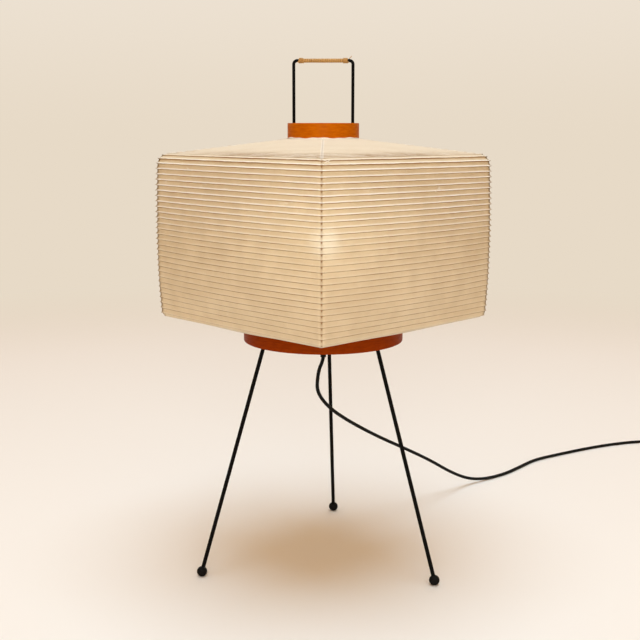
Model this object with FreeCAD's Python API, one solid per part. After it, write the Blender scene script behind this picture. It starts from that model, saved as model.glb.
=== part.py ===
import FreeCAD, Part
import math
import os
from FreeCAD import Vector

# A paper lantern on three wire legs, in millimetres. The floor is z 0, the lamp's axis is the
# Z axis, and one corner of the square shade points along -Y.

# Fits shared by all pieces.
slip_fit = 0.15
paste_fit = 0.1
paper_fit = 0.25
rib_fit = 0.3
lift_fit = 2.0

# Collar at the top of the shade.
collar_top = 642.0
collar_height = 25.0
collar_radius = 50.5
collar_wall = 3.0
collar_shown = 20.5
collar_edge_round = 0.8

# Hoop at the bottom of the shade, with the ledge that rests on the base plate.
hoop_bottom = 332.5
hoop_height = 26.5
hoop_radius = 115.5
hoop_wall = 3.0
hoop_edge_round = 0.8
hoop_shown = 22.0
ledge_width = 12.5
ledge_thickness = 4.0
ledge_height = 13.5

# Paper skin: the corner outline from collar to hoop, its swelling and its spiral ridges.
shoulder_radius = 238.0
shoulder_round = 12.0
crown_fall = 24.8
hem_inset = 2.2
hem_rise = 11.2
hem_round = 8.0
barrel_swell = 3.8
bow_at_shoulder = 4.0
bow_at_belly = 13.0
bow_at_hem = 1.5
belly_drop = 170.0
belly_rise = 52.0
paper_wall = 0.6
ridge_depth = 1.0
crown_turns = 14
side_turns = 32
under_turns = 10

# Bamboo rib, one strip that spirals down inside the paper's ridges.
rib_width = 1.6
rib_thickness = 1.2

# Base plate, cut from one sheet: rim, hub and three spokes.
plate_thickness = 3.0
rim_width = 14.0
hub_radius = 50.0
spoke_width = 16.0

# Legs and ball feet.
leg_diameter = 5.7
leg_top_radius = 89.0
foot_circle_radius = 192.0
foot_radius = 7.4
foot_flat = 0.6
leg_turn = -4.65
boss_diameter = 11.0
boss_length = 10.0
leg_in_boss = 7.0
leg_in_foot = 5.0

# Handle: one wire from the base plate up through the collar and back down.
handle_top = 730.0
handle_half_width = 41.4
handle_wire = 4.4
handle_bend = 5.0
socket_diameter = 8.0
socket_height = 12.0
crossbar_width = 12.0
crossbar_thickness = 2.5
ferrule_diameter = 7.5
ferrule_height = 6.0

# Cane wound on the handle, and the binding over each end of it.
cane_width = 2.5
cane_thickness = 0.65
cane_turns = 22
cane_pitch = 3.1
binding_strand = 1.0
binding_pitch = 1.5
binding_turns = 4

# Lampholder on its stem, and the bulb.
stem_diameter = 10.0
stem_bore = 6.5
stem_rise = 26.0
stem_in_grip = 12.0
nut_across_flats = 15.0
nut_height = 5.0
grip_diameter = 12.0
grip_head_diameter = 16.0
grip_head_height = 15.0
grip_length = 33.0
cap_radius = 18.0
cap_height = 16.0
cap_floor = 4.0
barrel_radius = 20.0
barrel_height = 42.0
barrel_wall = 5.0
shell_wall = 0.9
shell_height = 34.0
post_radius = 11.0
post_height = 6.0
contact_radius = 4.5
contact_height = 2.0
bulb_cap_radius = 13.0
bulb_cap_height = 24.0
bulb_tip_height = 4.0
bulb_tip_radius = 5.0
bulb_neck_radius = 12.6
bulb_globe_radius = 30.0
bulb_globe_rise = 50.0
bulb_wall = 1.0

# Cord, with the switch and the plug on it.
cord_diameter = 5.4
coil_radius = 40.0
coil_step = 12.4
coil_lift = 7.4
coil_tail = 34.0
switch_length = 62.0
switch_width = 24.0
switch_axis_height = 7.5
switch_round = 9.0
rocker_length = 18.0
rocker_width = 9.0
rocker_rise = 2.4
rocker_depth = 4.6
rocker_gap = 0.4
rocker_pivot_depth = 2.4
pin_diameter = 1.6
pin_grip = 3.0
plug_length = 34.0
plug_width = 26.0
plug_neck_width = 13.0
blade_length = 17.0
blade_width = 6.3
blade_thickness = 1.5
blade_spacing = 12.7

up = Vector(0, 0, 1)
cord_lie = cord_diameter / 2 + 0.2

# The cord's route from the grip over the floor to the switch, ending square to the switch.
cord_route = [
    Vector(0, 0, 305),
    Vector(0, 0, 296),
    Vector(-3, 0, 284),
    Vector(-7.5, 1, 262),
    Vector(-3, 16, 240),
    Vector(14, 44, 213),
    Vector(46, 91, 179),
    Vector(90, 146, 141),
    Vector(137, 197, 106),
    Vector(182, 243, 72),
    Vector(222, 289, 37),
    Vector(258, 331, 12),
    Vector(292, 359, 2.9),
    Vector(332, 388, 2.9),
    Vector(368, 430, 2.9),
    Vector(405, 478, 2.9),
    Vector(461, 515, 2.9),
    Vector(526, 554, 2.9),
    Vector(592, 584, 2.9),
    Vector(655, 600, 2.9),
    Vector(702, 597, 2.9),
    Vector(733, 570, 4.5),
    Vector(738, 528, 7.5),
    Vector(738, 486, 7.5),
]

# Heights and radii that follow from the sizes above.
collar_bottom = collar_top - collar_height
plate_top = hoop_bottom + ledge_height
plate_bottom = plate_top - plate_thickness
plate_radius = hoop_radius - hoop_wall - lift_fit
foot_height = foot_radius - foot_flat
paper_top_height = collar_top - collar_shown
paper_bottom_height = hoop_bottom + hoop_shown
shoulder_height = paper_top_height - crown_fall
hem_height = paper_bottom_height + hem_rise
hem_radius = shoulder_radius - hem_inset
holder_bottom = plate_top + stem_rise
barrel_bottom = holder_bottom + cap_height
grip_top = plate_bottom - nut_height


def cylinder(radius, bottom, top, x=0.0, y=0.0):
    return Part.makeCylinder(radius, top - bottom, Vector(x, y, bottom), up)


def tube(outer, inner, bottom, top, x=0.0, y=0.0):
    return cylinder(outer, bottom, top, x, y).cut(cylinder(inner, bottom, top, x, y))


def revolve(edges):
    return Part.Face(Part.Wire(edges)).revolve(Vector(0, 0, 0), up, 360)


def line(start, end):
    return Part.LineSegment(start, end).toShape()


def arc(start, middle, end):
    return Part.Arc(start, middle, end).toShape()


def profile(points):
    return revolve(Part.makePolygon(points + points[:1]).Edges)


def pipe(edges, radius):
    path = Part.Wire(edges)
    start = edges[0].valueAt(edges[0].FirstParameter)
    heading = edges[0].tangentAt(edges[0].FirstParameter)
    section = Part.Wire(Part.makeCircle(radius, start, heading))
    return path.makePipeShell([section], True, False)


def sewn(faces):
    shell = Part.makeCompound(faces)
    shell.sewShape(0.001)
    solid = Part.Solid(shell.Shells[0])
    if solid.Volume < 0:
        solid.reverse()
    return solid


def samples(edges, step):
    # Points along a wire, each with its distance from the wire's start.
    found = []
    run = 0.0
    for edge in edges:
        count = max(2, int(edge.Length / step))
        for k in range(count):
            distance = edge.Length * k / count
            found.append((run + distance, edge.valueAt(edge.getParameterByLength(distance))))
        run += edge.Length
    return found


def least_gap(edges, others, thickness, apart):
    # Least clear distance between stretches of one winding that lie further apart along it.
    least = 1e9
    far_points = samples(others, 1.2)
    for here, point in samples(edges, 1.2):
        for there, other in far_points:
            if there - here > apart:
                least = min(least, point.distanceToPoint(other))
    return least - thickness


def write(name, shape):
    shape.exportStep("parts/" + name + ".step")
    print(name, "solids", len(shape.Solids), "volume", round(shape.Volume, 1), "valid", shape.isValid())


# Paper skin

def outline_edges():
    # The shade's corner outline in the XZ plane, with both edges rounded.
    corners = [
        Vector(collar_radius + paper_fit, 0, paper_top_height),
        Vector(shoulder_radius, 0, shoulder_height),
        Vector(hem_radius, 0, hem_height),
        Vector(hoop_radius + paper_fit, 0, paper_bottom_height),
    ]
    return [rounded(corners[0:3], shoulder_round), rounded(corners[1:4], hem_round)], corners


def rounded(corner, radius):
    # Start, middle and end of the arc that rounds the middle point of three.
    before = (corner[0] - corner[1]).normalize()
    after = (corner[2] - corner[1]).normalize()
    half = before.getAngle(after) / 2
    inward = (before + after).normalize()
    reach = radius / math.tan(half)
    middle = corner[1] + inward * (radius / math.sin(half) - radius)
    return corner[1] + before * reach, middle, corner[1] + after * reach


outline_arcs, outline_corners = outline_edges()
crown_edge = line(outline_corners[0], outline_arcs[0][0])
side_edges = [
    arc(*outline_arcs[0]),
    line(outline_arcs[0][2], outline_arcs[1][0]),
    arc(*outline_arcs[1]),
]
under_edge = line(outline_arcs[1][2], outline_corners[3])
turns = crown_turns + side_turns + under_turns


def outline_point(turn):
    # The outline's point and outward normal after so many turns of the spiral rib.
    if turn <= crown_turns:
        edges, share = [crown_edge], turn / crown_turns
    elif turn <= crown_turns + side_turns:
        edges, share = side_edges, (turn - crown_turns) / side_turns
    else:
        edges, share = [under_edge], (turn - crown_turns - side_turns) / under_turns
    distance = share * sum(edge.Length for edge in edges)
    for edge in edges:
        if distance <= edge.Length or edge is edges[-1]:
            break
        distance -= edge.Length
    parameter = edge.getParameterByLength(min(distance, edge.Length))
    tangent = edge.tangentAt(parameter)
    return edge.valueAt(parameter), Vector(-tangent.z, 0, tangent.x)


def eased(share):
    # From 0 to 1, level at both ends.
    share = min(1.0, max(0.0, share))
    return share * share * (3 - 2 * share)


def skin_point(turn, angle, side, depth):
    # A point of the skin: side 0 is a corner of the square and side 1 the middle of a face.
    point, normal = outline_point(turn)
    height = point.z
    middle_height = (shoulder_height + hem_height) / 2
    swell = 1 - ((height - middle_height) / (shoulder_height - middle_height)) ** 2
    corner = point.x
    if crown_turns < turn < crown_turns + side_turns:
        corner += barrel_swell * max(0.0, swell)
    if height > middle_height:
        square = (point.x - collar_radius) / (outline_arcs[0][0].x - collar_radius)
    else:
        square = (point.x - hoop_radius) / (outline_arcs[1][2].x - hoop_radius)
    square = min(1.0, max(0.0, square))
    below_shoulder = eased((shoulder_height - height) / belly_drop)
    above_hem = eased((height - hem_height) / belly_rise)
    bow = bow_at_shoulder + (bow_at_belly - bow_at_shoulder) * below_shoulder
    bow = bow_at_hem + (bow - bow_at_hem) * above_hem
    face = corner + square * (corner * math.sqrt(0.5) + bow - corner)
    radius = face if side else corner
    stretch = 1.0 if side else corner / face
    radius -= depth * normal.x * stretch
    height -= depth * normal.z
    heading = math.radians(angle)
    return Vector(radius * math.cos(heading), radius * math.sin(heading), height)


def skin_curve(first, last, angle, depth):
    # A curve across one gore, from a corner over the middle of the face to the next corner.
    return arc(
        skin_point(first, angle, 0, depth),
        skin_point((first + last) / 2, angle + 45, 1, depth),
        skin_point(last, angle + 90, 0, depth),
    )


def stations(corner, below):
    # Ridges and valleys in turn at one corner: the rib sinks by a pitch in four corners.
    found = [(0.0, below)]
    for k in range(turns - 1):
        ridge = k + 0.5 + corner / 4
        found.append((ridge, below))
        if k < turns - 2:
            found.append((ridge + 0.5, below + ridge_depth))
    return found + [(float(turns), below)]


def paper_gore(corner):
    angle = 90 + 90 * corner
    outer, inner = [
        [
            skin_curve(here[0], there[0], angle, here[1])
            for here, there in zip(stations(corner, below), stations(corner + 1, below))
        ]
        for below in (0.0, paper_wall)
    ]
    loop = outer + inner[::-1]
    faces = [Part.makeRuledSurface(a, b) for a, b in zip(loop, loop[1:] + loop[:1])]
    for end in (0, -1):
        points = [edge.Vertexes[end].Point for edge in loop]
        faces.append(Part.Face(Part.makePolygon(points + points[:1])))
    return sewn(faces)


def pitch_at(turn):
    # Distance between neighbouring ridges along the outline.
    if turn <= crown_turns:
        return crown_edge.Length / crown_turns
    if turn <= crown_turns + side_turns:
        return sum(edge.Length for edge in side_edges) / side_turns
    return under_edge.Length / under_turns


def rib_rail(edge_side, depth):
    # One long edge of the rib: a curve across each face, from corner to corner.
    def point(quarter):
        turn = 0.5 + quarter / 4
        turn += edge_side * rib_width / 2 / pitch_at(turn)
        return skin_point(turn, 90 + 90 * quarter, quarter % 1 > 0, depth)

    return [arc(point(q), point(q + 0.5), point(q + 1)) for q in range(4 * (turns - 1))]


def bamboo_rib():
    groove = ridge_depth * rib_width / pitch_at(crown_turns + 1)
    top = paper_wall + groove + rib_fit
    bottom = top + rib_thickness
    rails = [rib_rail(*rail) for rail in ((-1, top), (1, top), (1, bottom), (-1, bottom))]
    faces = []
    for here, there in zip(rails, rails[1:] + rails[:1]):
        faces += [Part.makeRuledSurface(a, b) for a, b in zip(here, there)]
    for end in (0, -1):
        points = [rail[end].Vertexes[end].Point for rail in rails]
        faces.append(Part.Face(Part.makePolygon(points + points[:1])))
    return sewn(faces)


def collar():
    # A turned ring, its two outer edges eased.
    ring = tube(collar_radius, collar_radius - collar_wall, collar_bottom, collar_top)
    rims = [e for e in ring.Edges if abs(e.BoundBox.XMax - collar_radius) < 1e-6 and e.Closed]
    return ring.makeFillet(collar_edge_round, [e for e in rims if e.BoundBox.ZMin > collar_bottom + 1])


def hoop():
    # A turned ring with an inner ledge that rests on the rim of the base plate.
    inner = hoop_radius - hoop_wall
    top = hoop_bottom + hoop_height
    ledge_top = plate_top + ledge_thickness
    ring = profile([
        Vector(inner, 0, hoop_bottom),
        Vector(hoop_radius, 0, hoop_bottom),
        Vector(hoop_radius, 0, top),
        Vector(inner, 0, top),
        Vector(inner, 0, ledge_top),
        Vector(inner - ledge_width, 0, ledge_top),
        Vector(inner - ledge_width, 0, plate_top),
        Vector(inner, 0, plate_top),
    ])
    low = [
        e for e in ring.Edges
        if e.Closed and e.BoundBox.ZMax < hoop_bottom + 0.1 and e.BoundBox.XMax > inner + 1
    ]
    return ring.makeFillet(hoop_edge_round, low)


# Base

def leg_angles():
    return (("left", 210 + leg_turn), ("right", 330 + leg_turn), ("rear", 90 + leg_turn))


def turned(shape, angle):
    copy = shape.copy()
    copy.rotate(Vector(0, 0, 0), up, angle)
    return copy


foot_centre = Vector(foot_circle_radius, 0, foot_height)
leg_top = Vector(leg_top_radius, 0, plate_bottom)
leg_way = (leg_top - foot_centre).normalize()


def base_plate():
    plate = tube(plate_radius, plate_radius - rim_width, plate_bottom, plate_top)
    plate = plate.fuse(cylinder(hub_radius, plate_bottom, plate_top))
    reach = plate_radius - rim_width / 2
    spoke = Part.makeBox(
        reach, spoke_width, plate_thickness, Vector(0, -spoke_width / 2, plate_bottom)
    )
    for name, angle in leg_angles():
        plate = plate.fuse(turned(spoke, angle))
    plate = plate.removeSplitter()
    return plate.cut(cylinder(stem_diameter / 2 + slip_fit, plate_bottom, plate_top))


def leg_boss():
    # A slanting boss under a spoke, with a blind bore for the leg.
    low = leg_top - leg_way * boss_length
    boss = Part.makeCylinder(boss_diameter / 2, boss_length + boss_diameter, low, leg_way)
    above = Part.makeBox(400, 400, 60, Vector(-200, -200, plate_bottom))
    bore = Part.makeCylinder(leg_diameter / 2 + slip_fit, leg_in_boss, low, leg_way)
    return boss.cut(above).cut(bore)


def leg_rod():
    low = foot_centre + leg_way * (foot_radius - leg_in_foot)
    high = leg_top - leg_way * (boss_length - leg_in_boss)
    return Part.makeCylinder(leg_diameter / 2, (high - low).Length, low, leg_way)


def ball_foot():
    ball = Part.makeSphere(foot_radius, foot_centre)
    below = Part.makeBox(40, 40, 20, Vector(foot_circle_radius - 20, -20, -20))
    seat = foot_centre + leg_way * (foot_radius - leg_in_foot)
    bore = Part.makeCylinder(leg_diameter / 2 + slip_fit, 2 * leg_in_foot, seat, leg_way)
    return ball.cut(below).cut(bore)


# Handle

handle_axis = handle_top - handle_wire / 2


def handle_wire_frame():
    side = handle_half_width
    low = plate_top
    high = handle_axis - handle_bend
    inset = handle_bend * (1 - math.sqrt(0.5))
    edges = [
        line(Vector(-side, 0, low), Vector(-side, 0, high)),
        arc(
            Vector(-side, 0, high),
            Vector(-side + inset, 0, handle_axis - inset),
            Vector(-side + handle_bend, 0, handle_axis),
        ),
        line(Vector(-side + handle_bend, 0, handle_axis), Vector(side - handle_bend, 0, handle_axis)),
        arc(
            Vector(side - handle_bend, 0, handle_axis),
            Vector(side - inset, 0, handle_axis - inset),
            Vector(side, 0, high),
        ),
        line(Vector(side, 0, high), Vector(side, 0, low)),
    ]
    return pipe(edges, handle_wire / 2)


def on_both_uprights(outer, bottom, top):
    bore = handle_wire / 2 + slip_fit
    sides = (-handle_half_width, handle_half_width)
    return Part.makeCompound([tube(outer, bore, bottom, top, x) for x in sides])


def crossbar():
    # The bar across the uprights that carries the collar.
    low = collar_bottom - crossbar_thickness
    bar = Part.makeBox(
        2 * collar_radius,
        crossbar_width,
        crossbar_thickness,
        Vector(-collar_radius, -crossbar_width / 2, low),
    )
    bar = bar.common(cylinder(collar_radius, low, collar_bottom))
    for x in (-handle_half_width, handle_half_width):
        bar = bar.cut(cylinder(handle_wire / 2 + slip_fit, low, collar_bottom, x))
    return bar


def winding_edges(radius, pitch, count, start):
    # Half turns about the handle's bar, each a slanting half circle that moves on by half a pitch.
    edges = []
    for k in range(2 * count):
        side = 1 if k % 2 == 0 else -1
        here = Vector(start + k * pitch / 2, 0, handle_axis + side * radius)
        there = Vector(start + (k + 1) * pitch / 2, 0, handle_axis - side * radius)
        half = Vector(start + (k + 0.5) * pitch / 2, side * radius, handle_axis)
        edges.append(arc(here, half, there))
    return edges


def cane_winding():
    # One flat strip wound along the bar, sewn from four ruled faces for each half turn.
    bore = handle_wire / 2 + paste_fit
    start = -(cane_turns * cane_pitch + cane_width) / 2
    rails = [
        winding_edges(radius, cane_pitch, cane_turns, start + along)
        for radius, along in (
            (bore, 0),
            (bore, cane_width),
            (bore + cane_thickness, cane_width),
            (bore + cane_thickness, 0),
        )
    ]
    gap = least_gap(rails[2], rails[3], 0, handle_wire * 2)
    print("cane least gap", round(gap, 2))
    faces = []
    for here, there in zip(rails, rails[1:] + rails[:1]):
        faces += [Part.makeRuledSurface(a, b) for a, b in zip(here, there)]
    for end in (0, -1):
        points = [rail[end].Vertexes[end].Point for rail in rails]
        faces.append(Part.Face(Part.makePolygon(points + points[:1])))
    return sewn(faces)


def end_binding(side):
    radius = handle_wire / 2 + 2 * paste_fit + cane_thickness + binding_strand / 2
    length = binding_turns * binding_pitch
    reach = (cane_turns * cane_pitch + cane_width - binding_strand) / 2
    start = reach - length if side > 0 else -reach
    edges = winding_edges(radius, binding_pitch, binding_turns, start)
    gap = least_gap(edges, edges, binding_strand, 8 * binding_strand)
    print("binding least gap", round(gap, 2))
    return pipe(edges, binding_strand / 2)


# Lampholder and bulb

def hexagon(across, bottom, height):
    corner = across / math.sqrt(3)
    points = [
        Vector(corner * math.cos(k * math.pi / 3), corner * math.sin(k * math.pi / 3), bottom)
        for k in range(7)
    ]
    return Part.Face(Part.makePolygon(points)).extrude(Vector(0, 0, height))


def stem_nuts():
    bore = cylinder(stem_diameter / 2 + slip_fit, 0, collar_top)
    low = hexagon(nut_across_flats, grip_top, nut_height)
    high = hexagon(nut_across_flats, plate_top, nut_height)
    return Part.makeCompound([low.cut(bore), high.cut(bore)])


def cord_grip():
    # The strain relief under the plate: a head for the stem, then a tapering sleeve.
    socket = stem_diameter / 2 + slip_fit
    low = grip_top - grip_length
    shoulder = grip_top - grip_head_height
    return profile([
        Vector(0, 0, low),
        Vector(grip_diameter / 2 - 1, 0, low),
        Vector(grip_diameter / 2, 0, low + 1),
        Vector(grip_diameter / 2, 0, shoulder - 3),
        Vector(grip_head_diameter / 2, 0, shoulder),
        Vector(grip_head_diameter / 2, 0, grip_top),
        Vector(socket, 0, grip_top),
        Vector(socket, 0, grip_top - stem_in_grip),
        Vector(0, 0, grip_top - stem_in_grip),
    ])


def holder_cap():
    # The cup that the stem carries, open upwards.
    inner = cap_radius - barrel_wall / 2
    bore = stem_diameter / 2 + slip_fit
    return profile([
        Vector(bore, 0, holder_bottom),
        Vector(cap_radius - 4, 0, holder_bottom),
        Vector(cap_radius, 0, holder_bottom + 4),
        Vector(cap_radius, 0, barrel_bottom),
        Vector(inner, 0, barrel_bottom),
        Vector(inner, 0, holder_bottom + cap_floor),
        Vector(bore, 0, holder_bottom + cap_floor),
    ])


def holder_barrel():
    # The holder's sleeve, its floor closing the cap and carrying the contact.
    inner = barrel_radius - barrel_wall
    top = barrel_bottom + barrel_height
    return profile([
        Vector(0, 0, barrel_bottom),
        Vector(barrel_radius - 2, 0, barrel_bottom),
        Vector(barrel_radius, 0, barrel_bottom + 4),
        Vector(barrel_radius, 0, top - 2),
        Vector(barrel_radius - 1, 0, top),
        Vector(inner, 0, top),
        Vector(inner, 0, barrel_bottom + cap_floor),
        Vector(0, 0, barrel_bottom + cap_floor),
    ])


post_bottom = barrel_bottom + cap_floor
contact_bottom = post_bottom + post_height
bulb_bottom = contact_bottom + contact_height
glass_bottom = bulb_bottom + bulb_tip_height + bulb_cap_height


def screw_shell():
    outer = barrel_radius - barrel_wall - slip_fit
    return tube(outer, outer - shell_wall, post_bottom, post_bottom + shell_height)


def bulb_cap():
    skirt = bulb_bottom + bulb_tip_height
    return profile([
        Vector(0, 0, bulb_bottom),
        Vector(bulb_tip_radius - 1.5, 0, bulb_bottom),
        Vector(bulb_tip_radius, 0, bulb_bottom + 1),
        Vector(bulb_cap_radius - 1.5, 0, skirt),
        Vector(bulb_cap_radius, 0, skirt + 2),
        Vector(bulb_cap_radius, 0, glass_bottom),
        Vector(0, 0, glass_bottom),
    ])


def bulb_form(shrink):
    globe = bulb_globe_radius - shrink
    neck = bulb_neck_radius - shrink
    centre = glass_bottom + bulb_globe_rise
    slope = math.radians(25)
    join = Vector(globe * math.cos(slope), 0, centre - globe * math.sin(slope))
    neck_top = Vector(neck, 0, glass_bottom + 6)
    way = (join - neck_top)
    middle = neck_top + way * 0.5 + Vector(way.z, 0, -way.x) * 0.06
    slant = math.radians(40)
    crest = Vector(globe * math.cos(slant), 0, centre + globe * math.sin(slant))
    top = Vector(0, 0, centre + globe)
    foot = Vector(0, 0, glass_bottom)
    return revolve([
        line(foot, Vector(neck, 0, glass_bottom)),
        line(Vector(neck, 0, glass_bottom), neck_top),
        arc(neck_top, middle, join),
        arc(join, crest, top),
        line(top, foot),
    ])


# Cord, switch and plug

def route_edges(points):
    # Straight runs joined by tangent arcs as large as the two runs at each point allow.
    edges = []
    radii = []
    here = points[0]
    for before, point, after in zip(points, points[1:], points[2:]):
        back = before - point
        on = after - point
        half_turn = (math.pi - back.getAngle(on)) / 2
        reach = 0.45 * min(back.Length, on.Length)
        radius = reach / math.tan(half_turn)
        radii.append(round(radius))
        start, middle, end = rounded([before, point, after], radius)
        edges.append(line(here, start))
        edges.append(arc(start, middle, end))
        here = end
    edges.append(line(here, points[-1]))
    return edges, radii


def cord_run():
    edges, radii = route_edges(cord_route)
    solid = pipe(edges, cord_diameter / 2)
    length = sum(edge.Length for edge in edges)
    ratio = solid.Volume / (math.pi * cord_diameter ** 2 / 4 * length)
    print("cord radii", radii)
    print("cord length", round(length, 1), "volume over section times length", round(ratio, 4))
    return solid


switch_end = cord_route[-1]
coil_entry = Vector(switch_end.x, switch_end.y - switch_length - 4 * cord_diameter - 40, cord_lie)
coil_centre = coil_entry - Vector(coil_radius, 0, 0)
coil_exit = coil_centre + Vector(-coil_radius, 0, coil_lift)
plug_inlet = coil_exit + Vector(0, coil_tail, 0)


def coil_edges():
    # Seven half turns: inwards on the floor, up a layer where the spiral turns, outwards above.
    start = Vector(switch_end.x, switch_end.y - switch_length, switch_axis_height)
    lead = [
        start,
        start - Vector(0, 4 * cord_diameter, 0),
        coil_entry + Vector(0, 18, 0),
        coil_entry,
    ]
    edges, radii = route_edges(lead)
    here = coil_entry
    ends = [-coil_radius, coil_radius - coil_step, coil_step - coil_radius, coil_radius - 2 * coil_step]
    ends += [coil_step - coil_radius, coil_radius - coil_step, -coil_radius]
    for k, end in enumerate(ends):
        height = cord_lie + (coil_lift if k > 2 else 0)
        there = Vector(coil_centre.x + end, coil_centre.y, height)
        way = -1 if k % 2 == 0 else 1
        middle = (here + there) * 0.5 + Vector(0, way * abs(there.x - here.x) / 2, 0)
        edges.append(arc(here, middle, there))
        here = there
    edges.append(line(here, plug_inlet))
    return edges


def cord_coil():
    edges = coil_edges()
    length = sum(edge.Length for edge in edges)
    gap = least_gap(edges, edges, cord_diameter, coil_radius)
    print("coil length", round(length, 1), "least gap", round(gap, 2))
    return pipe(edges, cord_diameter / 2)


switch_top = 2 * switch_axis_height
rocker_pivot_height = switch_top - rocker_pivot_depth
slot_width = rocker_width + 2 * rocker_gap
pin_length = slot_width + 2 * pin_grip


def switch_block(bottom, top):
    centre = switch_end - Vector(0, switch_length / 2, 0)
    block = Part.makeBox(
        switch_width,
        switch_length,
        top - bottom,
        Vector(centre.x - switch_width / 2, centre.y - switch_length / 2, bottom),
    )
    upright = [e for e in block.Edges if abs(e.tangentAt(e.FirstParameter).z) > 0.9]
    return block.makeFillet(switch_round, upright), centre


def switch_base():
    return switch_block(0, switch_axis_height)[0]


def pivot_rod(diameter, length):
    # A rod along the rocker's axis.
    start = Vector(switch_end.x - length / 2, switch_end.y - switch_length / 2, rocker_pivot_height)
    return Part.makeCylinder(diameter / 2, length, start, Vector(1, 0, 0))


def switch_cover():
    # The upper half, with the slot that the rocker tips in and the holes for its pin.
    cover, centre = switch_block(switch_axis_height, switch_top)
    high = [e for e in cover.Edges if e.BoundBox.ZMin > switch_top - 0.01]
    cover = cover.makeFillet(2.0, high)
    slot = Part.makeBox(
        slot_width,
        rocker_length + 2 * rocker_gap + 1,
        switch_axis_height,
        Vector(
            centre.x - slot_width / 2,
            centre.y - rocker_length / 2 - rocker_gap - 0.5,
            switch_top - rocker_depth - 2 * rocker_gap - rocker_rise / 2,
        ),
    )
    return cover.cut(slot).cut(pivot_rod(pin_diameter + 2 * slip_fit, pin_length + 2 * slip_fit))


def switch_rocker():
    # A shallow trough on top and a rounded belly below, bored for the pivot pin.
    centre = switch_end - Vector(0, switch_length / 2, 0)
    reach = rocker_length / 2
    low = switch_top - rocker_depth
    high = switch_top + rocker_rise
    left = centre.x - rocker_width / 2
    section = Part.Wire([
        arc(
            Vector(left, centre.y - reach, high),
            Vector(left, centre.y, high - rocker_rise * 0.6),
            Vector(left, centre.y + reach, high),
        ),
        line(Vector(left, centre.y + reach, high), Vector(left, centre.y + reach - 1, switch_top)),
        arc(
            Vector(left, centre.y + reach - 1, switch_top),
            Vector(left, centre.y, low),
            Vector(left, centre.y - reach + 1, switch_top),
        ),
        line(Vector(left, centre.y - reach + 1, switch_top), Vector(left, centre.y - reach, high)),
    ])
    rocker = Part.Face(section).extrude(Vector(rocker_width, 0, 0))
    return rocker.cut(pivot_rod(pin_diameter + 2 * slip_fit, slot_width))


def plug_body():
    # A flat body that widens from the cord to the face with the blades.
    half = plug_inlet.z
    wide = plug_width / 2
    neck = plug_neck_width / 2
    face = plug_inlet.y + plug_length
    flare = plug_inlet.y + plug_length * 0.55
    points = [
        Vector(plug_inlet.x - neck, plug_inlet.y, 0),
        Vector(plug_inlet.x + neck, plug_inlet.y, 0),
        Vector(plug_inlet.x + wide, flare, 0),
        Vector(plug_inlet.x + wide, face, 0),
        Vector(plug_inlet.x - wide, face, 0),
        Vector(plug_inlet.x - wide, flare, 0),
    ]
    body = Part.Face(Part.makePolygon(points + points[:1])).extrude(Vector(0, 0, 2 * half))
    rims = [e for e in body.Edges if e.BoundBox.ZLength < 0.01 and e.BoundBox.YMin < face - 1]
    return body.makeFillet(3.0, rims)


def plug_blades():
    face = plug_inlet.y + plug_length
    blades = []
    for side in (-1, 1):
        low = Vector(
            plug_inlet.x + side * blade_spacing / 2 - blade_thickness / 2,
            face,
            plug_inlet.z - blade_width / 2,
        )
        blades.append(Part.makeBox(blade_thickness, blade_length, blade_width, low))
    return Part.makeCompound(blades)


os.makedirs("parts", exist_ok=True)

for number, name in enumerate(("rear_left", "front_left", "front_right", "rear_right")):
    write("paper_gore_" + name, paper_gore(number))
write("bamboo_rib", bamboo_rib())
write("top_collar", collar())
write("bottom_hoop", hoop())

write("base_plate", base_plate())
write("leg_bosses", Part.makeCompound([turned(leg_boss(), angle) for name, angle in leg_angles()]))
for name, angle in leg_angles():
    write("leg_" + name, turned(leg_rod(), angle))
    write("foot_" + name, turned(ball_foot(), angle))

write("handle_frame", handle_wire_frame())
write("frame_sockets", on_both_uprights(socket_diameter / 2, plate_top, plate_top + socket_height))
write("collar_crossbar", crossbar())
crossbar_bottom = collar_bottom - crossbar_thickness
ferrule_bottom = crossbar_bottom - ferrule_height
write("stop_ferrules", on_both_uprights(ferrule_diameter / 2, ferrule_bottom, crossbar_bottom))
write("handle_wrap", cane_winding())
write("wrap_binding_left", end_binding(-1))
write("wrap_binding_right", end_binding(1))

stem_bottom = grip_top - stem_in_grip
write("holder_stem", tube(stem_diameter / 2, stem_bore / 2, stem_bottom, holder_bottom + cap_floor))
write("stem_nuts", stem_nuts())
write("cord_grip", cord_grip())
write("holder_cap", holder_cap())
write("holder_barrel", holder_barrel())
write("screw_shell", screw_shell())
write("contact_post", cylinder(post_radius, post_bottom, contact_bottom))
write("centre_contact", cylinder(contact_radius, contact_bottom, bulb_bottom))
write("bulb_cap", bulb_cap())
write("bulb_glass", bulb_form(0).cut(bulb_form(bulb_wall)))

write("cord_run", cord_run())
write("cord_coil", cord_coil())
write("switch_base", switch_base())
write("switch_cover", switch_cover())
write("switch_rocker", switch_rocker())
write("rocker_pin", pivot_rod(pin_diameter, pin_length))
write("plug_body", plug_body())
write("plug_blades", plug_blades())
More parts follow.
